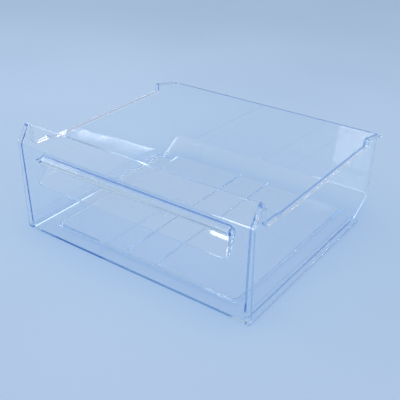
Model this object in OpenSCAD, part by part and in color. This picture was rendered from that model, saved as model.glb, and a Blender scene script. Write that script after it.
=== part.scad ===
// Clear freezer drawer, injection moulded in one piece.
// X runs across the front, Y runs from the front to the back, Z is up.
// The origin is in the middle of the footprint, on the surface that the drawer stands on.

/* [Tray] */
// Width over the side walls, at the floor
tray_w = 424; // [360:1:480]
// Depth from the front face to the outside of the back wall, at the rim
tray_d = 399; // [340:1:460]
// Height of the rim
rim_h = 141; // [120:1:145]
// Thickness of every moulded wall
wall = 3; // [2:0.1:3.6]
// Outward lean of the side walls and the back wall, in degrees
draft = 1.35; // [0.5:0.05:2.5]
// Outside radius of the two rear corners
corner_r = 10; // [7:0.5:20]
// Radius inside, where the floor meets the side walls
floor_r = 4; // [2:0.5:6]

/* [Sloped foot of the back wall] */
// Height of the slope
slope_h = 27; // [15:1:40]
// Depth of the slope
slope_d = 49; // [30:1:70]
// Outside radius above and below the slope
slope_r = 9; // [6:0.5:14]

/* [Front panel] */
// Reach of the panel, rim and foot past the side walls, at the floor
frame_out = 8.5; // [7:0.5:14]
// Height of the flat face, up to the bend
face_h = 152.5; // [146:0.5:170]
// Height of the band that leans back above the bend
band_h = 28.5; // [24:0.5:40]
// Lean of the band, in degrees from upright
band_lean = 32.5; // [15:0.5:40]
// Outside radius of the bend
bend_r = 8; // [5:0.5:14]
// Radius of the panel's lower corners
panel_r = 3; // [1:0.5:6]

/* [Grip pocket] */
// Width of the pocket between its end walls
grip_w = 355; // [220:1:370]
// Height of the pocket's lower edge
grip_z = 89.5; // [70:0.5:95]
// Height of the lip that the fingers hook behind
lip_z = 130.5; // [122:0.5:136]
// Depth of the pocket
grip_d = 23; // [18:0.5:34]
// Climb of the pocket's lower wall, in degrees
grip_climb = 52; // [45:1:58]
// Climb of the roof behind the lip, in degrees
roof_climb = 27; // [15:1:30]
// Fall of the upper wall from the roof to the deepest line, in degrees
grip_fall = 48; // [40:1:58]
// Radius of the pocket's lower front edge
grip_edge_r = 4; // [3.8:0.1:8]
// Radius of the flare where the end walls run out into the face
flare_r = 10; // [6:0.5:14]
// Radius of the corners inside the pocket
grip_r = 6; // [3:0.5:8]
// Radius of the pocket's upper corners
grip_top_r = 1; // [0.5:0.1:2]

/* [Ears and stops] */
// Distance from the front face to the back edge of the front ears
ear_d = 28.5; // [27:0.5:45]
// Drop from the top of the band to the ears' rear corner
ear_drop = 10; // [6:0.5:14]
// Radius of the ears' rear corner
ear_r = 4; // [2:0.5:6]
// Radius between an ear and the rim
ear_foot_r = 8; // [4:0.5:12]
// Rise of the rim in front of its long straight part
rim_rise = 3.5; // [2:0.5:8]
// Length of the slope between the rise and the straight rim
rise_l = 16; // [12:1:24]
// Radius at both ends of that slope
rise_r = 20; // [10:1:24]
// Distance from the front face to the start of the straight rim
rise_y = 76; // [70:1:120]
// Height of the rear stops above the rim
stop_h = 13; // [6:0.5:18]
// Length of the rear stops
stop_l = 58; // [40:1:80]
// Radius of the stops' upper corner
stop_r = 4; // [2:0.5:5]
// Radius at the foot of the stops
stop_foot_r = 1.5; // [0.5:0.1:2]

/* [Floor] */
// Width of the flat border on both sides of the raised floor
border_w = 30; // [20:1:45]
// Width of the flat border in front of the raised floor
border_d = 27; // [20:1:45]
// Height of the raised floor's top
pad_h = 8; // [6:0.5:12]
// Lean of the raised floor's sides, in degrees
pad_draft = 14; // [5:1:30]
// Radius of the raised floor's corners
pad_r = 10; // [7:1:20]
// Distance between the two ribs on the floor
rib_gap = 60; // [30:1:160]
// Width of a rib
rib_w = 2.6; // [1.5:0.1:5]
// Height of a rib above the raised floor
rib_h = 1.6; // [1:0.1:4]
// Space between the end of the feet and the sloped part
foot_gap = 6; // [2:1:40]

/* [Hidden] */
clear_plastic = [0.8, 0.92, 1, 0.35];
// Straight pieces in a quarter round
arc_steps = 6;
// Reach of a cut past the surface that it opens
skin = 0.5;
// Two depths closer than this count as one
tiny = 0.01;
// Smallest radius that is left on the inside of a bend
least_r = 0.5;
// Reach of the front's outline past its top edge, where it is trimmed
trim = 5;
// Shares of the pocket's height that its lower and upper corners may take where it narrows
low_share = 0.55;
high_share = 0.4;
// Half of the width over the panel, the rims and the feet
half_out = tray_w / 2 + frame_out;
// Height and rearward reach of the panel's top edge
panel_h = face_h + band_h;
band_run = band_h * tan(band_lean);
over = panel_h + trim;
// Depths, at the outside, where the slope meets the back wall and the floor
slope_y = tray_d - (rim_h - slope_h) * tan(draft);
floor_end = slope_y - slope_d;
foot_end = floor_end - foot_gap;
ear_h = panel_h - ear_drop;
// Centre of the round at the pocket's deepest line
deep_y = grip_d - grip_r;
deep_z = grip_z + (deep_y - grip_edge_r) * tan(grip_climb) + (grip_edge_r + grip_r) / cos(grip_climb);

// Unit vector, and the vector turned a quarter turn to the left
function unit(v) = v / norm(v);
function left(v) = [-v[1], v[0]];

// Offset that keeps a corner's two sides at distance t on their right
function miter(a, b, c, t) =
    let(n1 = -left(unit(b - a)), n2 = -left(unit(c - b)))
    b + (n1 + n2) * t / (1 + n1 * n2);

// An open path moved to its right by t
function moved(path, t) =
    let(last = len(path) - 1)
    [for (i = [0 : last])
        i == 0 ? path[0] - left(unit(path[1] - path[0])) * t
        : i == last ? path[last] - left(unit(path[last] - path[last - 1])) * t
        : miter(path[i - 1], path[i], path[i + 1], t)];

// Points of an arc of radius r that rounds corner b between a and c
function arc(a, b, c, r) =
    let(
        u = unit(a - b),
        v = unit(c - b),
        half = acos(max(-1, min(1, u * v))) / 2,
        centre = b + unit(u + v) * r / sin(half),
        from = b + u * r / tan(half) - centre,
        side = sign(u[1] * v[0] - u[0] * v[1]),
        turn = side * (180 - 2 * half)
    )
    [for (i = [0 : arc_steps])
        let(t = turn * i / arc_steps)
        centre + [from[0] * cos(t) - from[1] * sin(t), from[0] * sin(t) + from[1] * cos(t)]];

// An open path with its inner corners rounded, one radius for each point
function rounded(path, radii) =
    let(last = len(path) - 1)
    [for (i = [0 : last])
        each i == 0 || i == last || radii[i] <= 0 ? [path[i]]
        : arc(path[i - 1], path[i], path[i + 1], radii[i])];

// Radii on the right side of a path, a thickness t away: less on a right turn, more on a left turn
function radii_inside(path, radii, t) =
    let(last = len(path) - 1)
    [for (i = [0 : last])
        i == 0 || i == last ? 0
        : let(a = path[i] - path[i - 1], b = path[i + 1] - path[i], right = a[0] * b[1] < a[1] * b[0])
        max(least_r, radii[i] + (right ? -t : t))];

// Outline of a strip of thickness t on the right side of a path
function strip(path, radii, t) =
    let(other = rounded(moved(path, t), radii_inside(path, radii, t)))
    concat(rounded(path, radii), [for (i = [len(other) - 1 : -1 : 0]) other[i]]);

// Numbers in rising order, with repeats left out
function sorted(list) =
    len(list) < 2 ? list
    : concat(
        sorted([for (x = list) if (x < list[0] - tiny) x]),
        [list[0]],
        sorted([for (x = list) if (x > list[0] + tiny) x])
    );

// Closed surface through rings that have the same number of points
module loft(rings) {
    n = len(rings[0]);
    last = len(rings) - 1;
    sides = [for (i = [0 : last - 1], j = [0 : n - 1])
        let(a = i * n + j, b = i * n + (j + 1) % n)
        each [[a, a + n, b + n], [a, b + n, b]]];
    polyhedron(
        points = [for (ring = rings) each ring],
        faces = concat([[for (j = [0 : n - 1]) j]], sides, [[for (j = [n - 1 : -1 : 0]) last * n + j]]),
        convexity = 10
    );
}

// Quarter circle of radius r around a corner of a ring, from angle a
function corner(x, y, r, a) =
    [for (i = [0 : arc_steps])
        [x + r * cos(a + 90 * i / arc_steps), y + r * sin(a + 90 * i / arc_steps)]];

// Extrudes a profile drawn in Y and Z along X, from x1 to x2
module across(x1, x2) {
    translate([x1, 0, 0])
    rotate([90, 0, 90])
    linear_extrude(x2 - x1)
    children();
}

// Extrudes an outline drawn in X and Z along Y, from y1 to y2
module along(y1, y2) {
    translate([0, y2, 0])
    rotate([90, 0, 0])
    linear_extrude(y2 - y1)
    children();
}

// Rear of the tray in Y and Z: floor, slope and back wall
rear_path = [
    [floor_end - slope_d, 0],
    [floor_end, 0],
    [slope_y, slope_h],
    [slope_y + (over - slope_h) * tan(draft), over]
];

// Rear surface as pairs of height and depth, moved inwards by t
function rear_table(t) =
    let(line = rounded(moved(rear_path, -t), [0, slope_r - t, slope_r - t, 0]))
    [for (i = [1 : len(line) - 1]) [line[i][1], line[i][0]]];

// Ring of the tray's section at one height
function tray_ring(z, half_w, front, rear, r) = [for (p = concat(
    [[-half_w, front], [half_w, front]],
    corner(half_w - r, rear - r, r, 0),
    corner(r - half_w, rear - r, r, 90)
)) [p[0], p[1], z]];

// Outside of the tray as one block, open to the front panel
module tray_block() {
    loft([for (row = rear_table(0))
        tray_ring(row[0], tray_w / 2 + row[0] * tan(draft), wall / 2, row[1], corner_r)]);
}

// Space inside the tray, with the floor's edges rounded
module tray_space() {
    table = rear_table(wall);
    fillet = [for (i = [0 : arc_steps]) floor_r * (1 - cos(90 * i / arc_steps))];
    heights = concat(
        [for (h = fillet) wall + h],
        [for (row = table) if (row[0] > wall + floor_r + skin) row[0]]
    );
    loft([for (z = heights)
        let(
            h = min(z - wall, floor_r),
            inset = floor_r - sqrt(pow(floor_r, 2) - pow(floor_r - h, 2)),
            half_w = tray_w / 2 - wall + z * tan(draft) - inset
        )
        tray_ring(z, half_w, -skin, lookup(z, table) - inset, corner_r - wall)]);
}

// Front face, bend and leaning band, from the foot to just past the top edge
front_path = [
    [0, 0],
    [0, face_h],
    [(over - face_h) * tan(band_lean), over]
];
front_radii = [0, bend_r, 0];

// Top line of a side, from inside the band: ear, rim, stop and rear corner
rim_path = [
    [band_run + wall / 2, panel_h - wall / 2],
    [ear_d, ear_h],
    [ear_d, rim_h + rim_rise],
    [rise_y - rise_l, rim_h + rim_rise],
    [rise_y, rim_h],
    [tray_d - stop_l, rim_h],
    [tray_d - stop_l, rim_h + stop_h],
    [tray_d, rim_h]
];
rim_radii = [0, ear_r, ear_foot_r, rise_r, rise_r, stop_foot_r, stop_r, 0];

// Outline of a side wall in Y and Z, which ends in the middle of the panel and of the flange
module side_outline() {
    half = wall / 2;
    top = rounded(moved(rim_path, half), radii_inside(rim_path, rim_radii, half));
    polygon(concat(
        rounded(moved(front_path, half), radii_inside(front_path, front_radii, half)),
        [for (i = [1 : len(top) - 2]) top[i]],
        [
            [tray_d - 2 * wall, rim_h],
            [tray_d + wall, rim_h],
            [tray_d + wall, -wall],
            [half, -wall]
        ]
    ));
}

// Outline of the front in X and Z, which trims the panel and the flanges
module front_outline() {
    polygon(concat(
        corner(half_out - panel_r, panel_r, panel_r, -90),
        [[half_out, panel_h], [-half_out, panel_h]],
        corner(panel_r - half_out, panel_r, panel_r, 180)
    ));
}

module both_sides() {
    children();
    mirror([1, 0, 0]) children();
}

// Runner flange along the top of each side wall
module runner_flanges() {
    both_sides()
    across(tray_w / 2 - corner_r, half_out)
    polygon(strip(rim_path, rim_radii, wall));
}

// Foot flange along the bottom of each side wall
module foot_flanges() {
    both_sides()
    linear_extrude(wall)
    polygon([
        [tray_w / 2 - corner_r, wall / 2],
        [half_out, wall / 2],
        [half_out, foot_end],
        [tray_w / 2, foot_end + foot_gap],
        [tray_w / 2 - corner_r, foot_end + foot_gap]
    ]);
}

// Side walls, floor, slope and back wall, with the flanges outside them
module tray_shell() {
    difference() {
        union() {
            intersection() {
                tray_block();
                across(-half_out, half_out) side_outline();
            }
            runner_flanges();
            foot_flanges();
        }
        tray_space();
    }
}

module front_panel() {
    across(-half_out, half_out) polygon(strip(front_path, front_radii, wall));
}

// Grip pocket: height of its lower wall at depth y, moved outwards by t
function pocket_low(y, t) =
    let(
        edge = grip_edge_r - t,
        deep = grip_r + t,
        line = grip_z + (y - grip_edge_r) * tan(grip_climb) + edge / cos(grip_climb)
    )
    y < grip_edge_r - edge * sin(grip_climb)
        ? grip_z + sqrt(max(0, pow(edge, 2) - pow(grip_edge_r - y, 2)))
    : y > deep_y + deep * sin(grip_climb)
        ? deep_z - sqrt(max(0, pow(deep, 2) - pow(y - deep_y, 2)))
    : line;

// Height of its roof and upper wall at depth y, moved outwards by t
function pocket_high(y, t) =
    let(
        deep = grip_r + t,
        roof = lip_z + y * tan(roof_climb) + t / cos(roof_climb),
        fall = deep_z + deep / cos(grip_fall) + (deep_y - y) * tan(grip_fall)
    )
    y > deep_y + deep * sin(grip_fall)
        ? deep_z + sqrt(max(0, pow(deep, 2) - pow(y - deep_y, 2)))
    : min(roof, fall);

// Reach of the flare at depth y past the end wall, moved outwards by t
function flare(y, t) =
    y >= flare_r ? 0
    : flare_r - t - sqrt(max(0, pow(flare_r - t, 2) - pow(flare_r - max(y, t), 2)));

// The pocket's form, from its mouth to its deepest line, moved outwards by t
module pocket_form(t) {
    deep = grip_r + t;
    mouth = t > 0 ? wall / 2 : -skin;
    depths = sorted(concat(
        [mouth, roof_end(t)],
        [for (i = [0 : arc_steps]) flare_r - (flare_r - t) * cos(90 * i / arc_steps)],
        [for (i = [1 : arc_steps]) grip_edge_r + max(0, grip_edge_r - t) * (sin(90 * i / arc_steps) - 1)],
        [for (i = [1 : 2 * arc_steps - 1]) deep_y + deep * sin(90 * i / (2 * arc_steps))]
    ));
    loft([for (i = [len(depths) - 1 : -1 : 0])
        let(
            y = depths[i],
            low = pocket_low(max(y, t), t),
            high = pocket_high(max(y, 0), t),
            inset = y > deep_y ? deep - sqrt(pow(deep, 2) - pow(y - deep_y, 2)) : 0,
            half_w = grip_w / 2 + t + flare(y, t) - inset,
            low_r = min(grip_r + t + flare(y, t), (high - low) * low_share),
            high_r = min(grip_top_r + t, (high - low) * high_share)
        )
        [for (p = concat(
            corner(half_w - low_r, low + low_r, low_r, -90),
            corner(half_w - high_r, high - high_r, high_r, 0),
            corner(high_r - half_w, high - high_r, high_r, 90),
            corner(low_r - half_w, low + low_r, low_r, 180)
        )) [p[0], y, p[1]]]]);
}

// Depth where the roof meets the upper wall, moved outwards by t
function roof_end(t) =
    (deep_z + (grip_r + t) / cos(grip_fall) + deep_y * tan(grip_fall) - lip_z - t / cos(roof_climb))
    / (tan(roof_climb) + tan(grip_fall));

// Raised middle of the floor from height low, moved inwards by t. It runs out through the slope.
module pad_form(t, low) {
    loft([for (z = [low, pad_h - t])
        let(
            inset = z * tan(pad_draft) + t / cos(pad_draft),
            half_w = tray_w / 2 - border_w - inset,
            front = border_d + inset
        )
        [for (p = concat(
            corner(half_w - pad_r, tray_d - pad_r, pad_r, 0),
            corner(pad_r - half_w, tray_d - pad_r, pad_r, 90),
            corner(pad_r - half_w, front + pad_r, pad_r, 180),
            corner(half_w - pad_r, front + pad_r, pad_r, 270)
        )) [p[0], p[1], z]]]);
}

module pad_and_ribs() {
    intersection() {
        tray_block();
        union() {
            pad_form(0, wall / 2);
            both_sides()
            translate([(rib_gap - rib_w) / 2, border_d + pad_r, wall])
            cube([rib_w, slope_y - border_d - pad_r, pad_h + rib_h - wall]);
        }
    }
}

module drawer() {
    color(clear_plastic)
    translate([0, -tray_d / 2, 0])
    difference() {
        intersection() {
            union() {
                tray_shell();
                front_panel();
                pocket_form(wall);
                pad_and_ribs();
            }
            along(-skin, tray_d + skin) front_outline();
        }
        pocket_form(0);
        pad_form(wall, -skin);
    }
}

drawer();
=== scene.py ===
"""Clear freezer drawer on a pale studio floor. Lengths are in metres."""
import math

import bpy
from mathutils import Matrix, Quaternion, Vector


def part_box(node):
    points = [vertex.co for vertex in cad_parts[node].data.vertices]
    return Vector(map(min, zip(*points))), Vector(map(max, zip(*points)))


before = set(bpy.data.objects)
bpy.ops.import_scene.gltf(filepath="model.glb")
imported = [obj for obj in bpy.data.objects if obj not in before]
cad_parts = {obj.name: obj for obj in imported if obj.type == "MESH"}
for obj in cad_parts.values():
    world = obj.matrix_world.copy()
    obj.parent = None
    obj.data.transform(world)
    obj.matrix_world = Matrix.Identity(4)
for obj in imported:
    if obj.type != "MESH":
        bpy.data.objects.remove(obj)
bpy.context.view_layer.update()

# Camera of the photograph, fitted to the drawer's corners. Pixels are those of the 400 by 400 photo.
PHOTO_SIZE = 400
FOCAL_PIXELS = 687.7
SENSOR_MM = 36.0
CAMERA_YAW = math.radians(-36.15)
CAMERA_PITCH = math.radians(29.31)
CAMERA_ROLL = math.radians(0.13)
CAMERA_PLACE = Vector((0.5974, -0.6304, 0.6065))
HALF_PIXEL_SHIFT = 0.5 / PHOTO_SIZE

# Clear polystyrene
PLASTIC_COLOUR = (0.985, 0.993, 1.0, 1.0)
PLASTIC_IOR = 1.59
DEPTH_COLOUR = (0.45, 0.76, 1.0, 1.0)
DEPTH_DENSITY = 9.0
LIGHT_PASSED = (0.90, 0.94, 0.98, 1.0)
LIGHT_LEAVING = (0.62, 0.76, 0.92, 1.0)
MOST_REFLECTIONS = 2.5
EDGE_RADIUS = 0.0007
EDGE_SAMPLES = 4

# Gloss, cloudy from place to place
CLOUD_SCALE = 30.0
CLOUD_RANGE = (0.35, 0.75)
CLOUD_ROUGHNESS = (0.012, 0.035)

# Waves that the cooling plastic leaves in a wall
WAVE_SCALE = 16.0
WAVE_STRETCH = (1.0, 1.0, 0.55)
WAVE_HEIGHT = 0.0006
WAVE_STRENGTH = 0.35

# Hairline scratches from use: fine across, long along, and gathered in patches
SCRATCH_STRETCH = (1400.0, 9.0, 30.0)
SCRATCH_TURNS = (0.35, -1.1)
SCRATCH_RANGE = (0.70, 0.78)
SCRATCH_PATCH_SCALE = 9.0
SCRATCH_PATCH_RANGE = (0.48, 0.66)
SCRATCH_DEPTH = 0.00005
SCRATCH_STRENGTH = 0.15
SCRATCH_ROUGHNESS = 0.10

# Scuffs low on the walls and on the underside, where the drawer stands and slides
SCUFF_HEIGHTS = (0.002, 0.012)
SCUFF_SCALE = 120.0
SCUFF_GRAIN = 0.7
SCUFF_RANGE = (0.45, 0.7)
SCUFF_ROUGHNESS = 0.14

# Shading of the rounds
SMOOTH_ANGLE = math.radians(24)
WELD_DISTANCE = 1e-6

# Floor of matt paper, AIR_GAP under the drawer
FLOOR_HALF = 60.0
AIR_GAP = 0.0003
FLOOR_COLOUR = (0.42, 0.55, 0.74)
PATCH_COLOUR = (0.46, 0.59, 0.78)
PATCH_SCALE = 1.3
PATCH_RANGE = (0.3, 0.7)
PAPER_ROUGHNESS = 0.55

# Room. The floor fades into the horizon over FADE_RANGE, and the horizon into the zenith over SKY_RANGE.
HORIZON_COLOUR = (0.37, 0.49, 0.67)
ZENITH_COLOUR = (0.74, 0.76, 0.77)
FADE_RANGE = (0.6, 2.6)
SKY_RANGE = (0.15, 0.40)


def add_camera(front_y):
    """Camera at the photo's viewpoint. The fit's own frame has the front face at y = 0."""
    forward = Vector((
        math.sin(CAMERA_YAW) * math.cos(CAMERA_PITCH),
        math.cos(CAMERA_YAW) * math.cos(CAMERA_PITCH),
        -math.sin(CAMERA_PITCH),
    ))
    level_right = Vector((math.cos(CAMERA_YAW), -math.sin(CAMERA_YAW), 0.0))
    level_up = level_right.cross(forward)
    right = math.cos(CAMERA_ROLL) * level_right + math.sin(CAMERA_ROLL) * level_up
    up = right.cross(forward)
    data = bpy.data.cameras.new("photo_camera")
    data.sensor_width = SENSOR_MM
    data.lens = FOCAL_PIXELS / PHOTO_SIZE * SENSOR_MM
    data.shift_x = -HALF_PIXEL_SHIFT
    data.shift_y = HALF_PIXEL_SHIFT
    camera = bpy.data.objects.new("photo_camera", data)
    bpy.context.scene.collection.objects.link(camera)
    turn = Matrix((right, up, -forward)).transposed().to_4x4()
    camera.matrix_world = Matrix.Translation(CAMERA_PLACE + Vector((0, front_y, 0))) @ turn
    bpy.context.scene.camera = camera


class Nodes:
    """Short calls for building one node tree."""

    def __init__(self, tree):
        self.tree = tree
        tree.nodes.clear()

    def put(self, value, socket):
        """Links a socket's value, or sets a plain one."""
        if isinstance(value, bpy.types.NodeSocket):
            self.tree.links.new(value, socket)
        else:
            socket.default_value = value

    def add(self, kind, settings=None, **inputs):
        """New node. An underscore in an input's name stands for a space."""
        node = self.tree.nodes.new(kind)
        for name, value in (settings or {}).items():
            setattr(node, name, value)
        for name, value in inputs.items():
            self.put(value, node.inputs[name.replace("_", " ")])
        return node

    def maths(self, operation, *values):
        node = self.add("ShaderNodeMath", {"operation": operation})
        for socket, value in zip(node.inputs, values):
            self.put(value, socket)
        return node.outputs[0]

    def stretched(self, place, scale, turn=0.0):
        """Coordinates scaled on each axis and turned about Z."""
        node = self.add("ShaderNodeMapping", Vector=place, Scale=scale, Rotation=(0.0, 0.0, turn))
        return node.outputs["Vector"]

    def noise(self, vector, scale, detail, roughness=0.5):
        node = self.add("ShaderNodeTexNoise", Vector=vector, Scale=scale, Detail=detail, Roughness=roughness)
        return node.outputs["Fac"]

    def ramp(self, value, span, reach=(0.0, 1.0)):
        """Spreads the value smoothly over the reach, as it goes from the span's low end to its high end."""
        node = self.add(
            "ShaderNodeMapRange", {"interpolation_type": "SMOOTHSTEP"},
            Value=value, From_Min=span[0], From_Max=span[1], To_Min=reach[0], To_Max=reach[1],
        )
        return node.outputs["Result"]

    def blended(self, factor, first, second):
        """Mix of two plain colours: factor 0 is the first."""
        node = self.add("ShaderNodeMix", {"data_type": "RGBA"})
        self.put(factor, node.inputs["Factor"])
        self.put((*first, 1.0), node.inputs["A"])
        self.put((*second, 1.0), node.inputs["B"])
        return node.outputs["Result"]

    def mixed(self, factor, first, second):
        """Mix Shader of two shader nodes: factor 0 is the first."""
        node = self.add("ShaderNodeMixShader", Fac=factor)
        self.put(first.outputs[0], node.inputs[1])
        self.put(second.outputs[0], node.inputs[2])
        return node


def scratch_mask(n, place):
    """1 on a hairline scratch and 0 beside it."""
    lines = [
        n.ramp(n.noise(n.stretched(place, SCRATCH_STRETCH, turn), 1.0, detail=1.0), SCRATCH_RANGE)
        for turn in SCRATCH_TURNS
    ]
    patches = n.ramp(n.noise(place, SCRATCH_PATCH_SCALE, detail=2.0), SCRATCH_PATCH_RANGE)
    return n.maths("MULTIPLY", n.maths("MAXIMUM", *lines), patches)


def scuff_mask(n, place):
    """Up to 1 in the scuffs near the drawer's foot."""
    height = n.add("ShaderNodeSeparateXYZ", Vector=place).outputs["Z"]
    foot = n.ramp(height, SCUFF_HEIGHTS, (1.0, 0.0))
    marks = n.ramp(n.noise(place, SCUFF_SCALE, detail=4.0, roughness=SCUFF_GRAIN), SCUFF_RANGE)
    return n.maths("MULTIPLY", foot, marks)


def worn_surface(n, place):
    """Roughness and normal of the plastic, with its waves, scratches, scuffs and softened edges."""
    scratches = scratch_mask(n, place)
    cloudy = n.ramp(n.noise(place, CLOUD_SCALE, detail=4.0), CLOUD_RANGE, CLOUD_ROUGHNESS)
    scratched = n.maths("ADD", cloudy, n.maths("MULTIPLY", scratches, SCRATCH_ROUGHNESS))
    rough = n.maths("ADD", scratched, n.maths("MULTIPLY", scuff_mask(n, place), SCUFF_ROUGHNESS))

    edge = n.add("ShaderNodeBevel", {"samples": EDGE_SAMPLES}, Radius=EDGE_RADIUS)
    waves = n.noise(n.stretched(place, WAVE_STRETCH), WAVE_SCALE, detail=1.0)
    wavy = n.add(
        "ShaderNodeBump",
        Strength=WAVE_STRENGTH, Distance=WAVE_HEIGHT, Height=waves, Normal=edge.outputs["Normal"],
    )
    cut = n.add(
        "ShaderNodeBump", {"invert": True},
        Strength=SCRATCH_STRENGTH, Distance=SCRATCH_DEPTH, Height=scratches, Normal=wavy.outputs["Normal"],
    )
    return rough, cut.outputs["Normal"]


def clear_plastic():
    """Polished clear polystyrene with flow waves, hairline scratches and a scuffed foot."""
    material = bpy.data.materials.new("clear_plastic")
    material.use_nodes = True
    n = Nodes(material.node_tree)
    rough, normal = worn_surface(n, n.add("ShaderNodeTexCoord").outputs["Object"])
    polished = n.add(
        "ShaderNodeBsdfPrincipled",
        Base_Color=PLASTIC_COLOUR, IOR=PLASTIC_IOR, Transmission_Weight=1.0, Roughness=rough, Normal=normal,
    )

    # Light that keeps bouncing inside a wall's edge leaves it tinted, so that edges are blue and not black
    path = n.add("ShaderNodeLightPath")
    leaving = n.add("ShaderNodeBsdfTransparent", Color=LIGHT_LEAVING)
    trapped = n.maths("GREATER_THAN", path.outputs["Glossy Depth"], MOST_REFLECTIONS)
    wall = n.mixed(trapped, polished, leaving)

    # Rays to lamps and from lit surfaces go straight through, as through thin clear walls
    through = n.add("ShaderNodeBsdfTransparent", Color=LIGHT_PASSED)
    straight = n.maths("MAXIMUM", path.outputs["Is Shadow Ray"], path.outputs["Is Diffuse Ray"])
    surface = n.mixed(straight, wall, through)
    inside = n.add("ShaderNodeVolumeAbsorption", Color=DEPTH_COLOUR, Density=DEPTH_DENSITY)
    n.add("ShaderNodeOutputMaterial", Surface=surface.outputs["Shader"], Volume=inside.outputs["Volume"])
    return material


def angle_group():
    """Geometry nodes that shade all faces smooth, apart from edges of SMOOTH_ANGLE or more."""
    group = bpy.data.node_groups.new("smooth_by_angle", "GeometryNodeTree")
    group.interface.new_socket("Geometry", in_out="INPUT", socket_type="NodeSocketGeometry")
    group.interface.new_socket("Geometry", in_out="OUTPUT", socket_type="NodeSocketGeometry")
    start = group.nodes.new("NodeGroupInput")
    end = group.nodes.new("NodeGroupOutput")
    faces = group.nodes.new("GeometryNodeSetShadeSmooth")
    faces.domain = "FACE"
    faces.inputs["Shade Smooth"].default_value = True
    edges = group.nodes.new("GeometryNodeSetShadeSmooth")
    edges.domain = "EDGE"
    angle = group.nodes.new("GeometryNodeInputMeshEdgeAngle")
    small = group.nodes.new("FunctionNodeCompare")
    small.operation = "LESS_THAN"
    small.inputs["B"].default_value = SMOOTH_ANGLE
    link = group.links.new
    link(start.outputs[0], faces.inputs["Geometry"])
    link(faces.outputs["Geometry"], edges.inputs["Geometry"])
    link(angle.outputs["Unsigned Angle"], small.inputs["A"])
    link(small.outputs["Result"], edges.inputs["Shade Smooth"])
    link(edges.outputs["Geometry"], end.inputs[0])
    return group


def smooth_rounds(drawer):
    """Shades the rounds smooth and keeps the flats flat, with the mesh's points as they are."""
    weld = drawer.modifiers.new("weld", "WELD")
    weld.merge_threshold = WELD_DISTANCE
    drawer.modifiers.new("smooth_by_angle", "NODES").node_group = angle_group()
    flats = drawer.modifiers.new("weighted_normal", "WEIGHTED_NORMAL")
    flats.keep_sharp = True


def paper():
    """Matt paper that differs a little from patch to patch, and far off takes the horizon's colour."""
    material = bpy.data.materials.new("studio_floor")
    material.use_nodes = True
    n = Nodes(material.node_tree)
    place = n.add("ShaderNodeTexCoord").outputs["Object"]
    patches = n.ramp(n.noise(place, PATCH_SCALE, detail=2.0), PATCH_RANGE)
    near = n.add(
        "ShaderNodeBsdfPrincipled", Roughness=PAPER_ROUGHNESS, Specular_IOR_Level=0.0,
        Base_Color=n.blended(patches, FLOOR_COLOUR, PATCH_COLOUR),
    )

    # The far colour is only for rays that show the background
    path = n.add("ShaderNodeLightPath")
    seen = n.maths("MAXIMUM", path.outputs["Is Camera Ray"], path.outputs["Is Glossy Ray"])
    seen = n.maths("MAXIMUM", seen, path.outputs["Is Transmission Ray"])
    distance = n.add("ShaderNodeVectorMath", {"operation": "LENGTH"})
    n.put(place, distance.inputs[0])
    far = n.maths("MULTIPLY", seen, n.ramp(distance.outputs["Value"], FADE_RANGE))
    horizon = n.add("ShaderNodeEmission", Color=(*HORIZON_COLOUR, 1.0), Strength=1.0)
    n.add("ShaderNodeOutputMaterial", Surface=n.mixed(far, near, horizon).outputs["Shader"])
    return material


def pale_floor():
    """Flat floor just under the drawer, large enough that its edge lies on the horizon."""
    mesh = bpy.data.meshes.new("studio_floor")
    signs = ((-1, -1), (1, -1), (1, 1), (-1, 1))
    corners = [(x * FLOOR_HALF, y * FLOOR_HALF, -AIR_GAP) for x, y in signs]
    mesh.from_pydata(corners, [], [range(len(corners))])
    mesh.materials.append(paper())
    floor = bpy.data.objects.new("studio_floor", mesh)
    bpy.context.scene.collection.objects.link(floor)


def softbox(name, place, aim, size, power, roll=0.0, lights_floor=False):
    """Lamp that shows as a highlight on the plastic, and lights the floor too where that is asked."""
    data = bpy.data.lights.new(name, "AREA")
    data.shape = "RECTANGLE"
    data.size, data.size_y = size
    data.energy = power
    lamp = bpy.data.objects.new(name, data)
    bpy.context.scene.collection.objects.link(lamp)
    lamp.location = place
    turn = (Vector(aim) - Vector(place)).to_track_quat("-Z", "Y")
    lamp.rotation_euler = (turn @ Quaternion((0, 0, 1), math.radians(roll))).to_euler()
    lamp.visible_camera = False
    lamp.visible_diffuse = lights_floor


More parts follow.
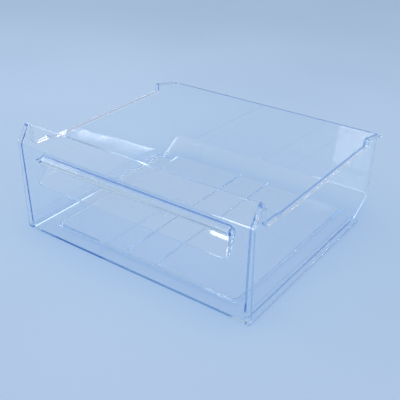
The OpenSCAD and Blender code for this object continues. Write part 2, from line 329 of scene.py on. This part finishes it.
def studio_lamps():
    """Two soft lamps, and narrow strips that show as the photo's highlights.

    Power is in watts and roll in degrees.
    """
    softbox(
        "overhead",
        place=(0.12, 0.1, 1.7), aim=(0.12, 0.1, 0), size=(0.84, 1.1), power=7.6, lights_floor=True,
    )
    softbox(
        "left",
        place=(-1.64, 0, 1.227), aim=(0, 0, 0.08), size=(1.5, 0.9), power=5, lights_floor=True,
    )

    # Along the bend of the front, and at the right end of the back wall
    softbox(
        "bend_strip",
        place=(-0.48, -1.64, 0.48), aim=(0.157, -0.064, 0.48), size=(0.34, 0.88), power=4,
    )

    # On the left wall
    softbox(
        "wall_strip",
        place=(0.995, 1.26, 0.603), aim=(0, 0.19, 0.2), size=(0.4, 0.095), power=2.7, roll=17,
    )

    # At the left end of the front's top edge, and on the left runner rim
    softbox(
        "edge_strip",
        place=(-2.65, 1.89, 1.55), aim=(-0.18, -0.18, 0.18), size=(0.3, 0.15), power=0.32,
    )

    # At the right end of the grip, on its side and in its hollow
    softbox(
        "grip_side_strip",
        place=(-1.56, -0.59, 0.335), aim=(0.18, -0.19, 0.105), size=(0.4, 0.2), power=3,
    )
    softbox(
        "grip_strip",
        place=(-0.6, -1.29, 1.03), aim=(0.155, -0.183, 0.112), size=(0.13, 0.055), power=0.125, roll=24,
    )


def studio_world():
    """Evenly lit room that towards the horizon takes the far floor's colour."""
    world = bpy.data.worlds.new("studio")
    bpy.context.scene.world = world
    world.use_nodes = True
    n = Nodes(world.node_tree)
    way = n.add("ShaderNodeSeparateXYZ", Vector=n.add("ShaderNodeTexCoord").outputs["Generated"])
    sky = n.blended(n.ramp(way.outputs["Z"], SKY_RANGE), HORIZON_COLOUR, ZENITH_COLOUR)
    background = n.add("ShaderNodeBackground", Strength=1.0, Color=sky)
    n.add("ShaderNodeOutputWorld", Surface=background.outputs["Background"])


bpy.context.scene.view_settings.view_transform = "Standard"
front_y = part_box("drawer")[0].y
add_camera(front_y)
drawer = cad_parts["drawer"]
plastic = clear_plastic()
for slot in drawer.material_slots:
    slot.material = plastic
smooth_rounds(drawer)
pale_floor()
studio_lamps()
studio_world()
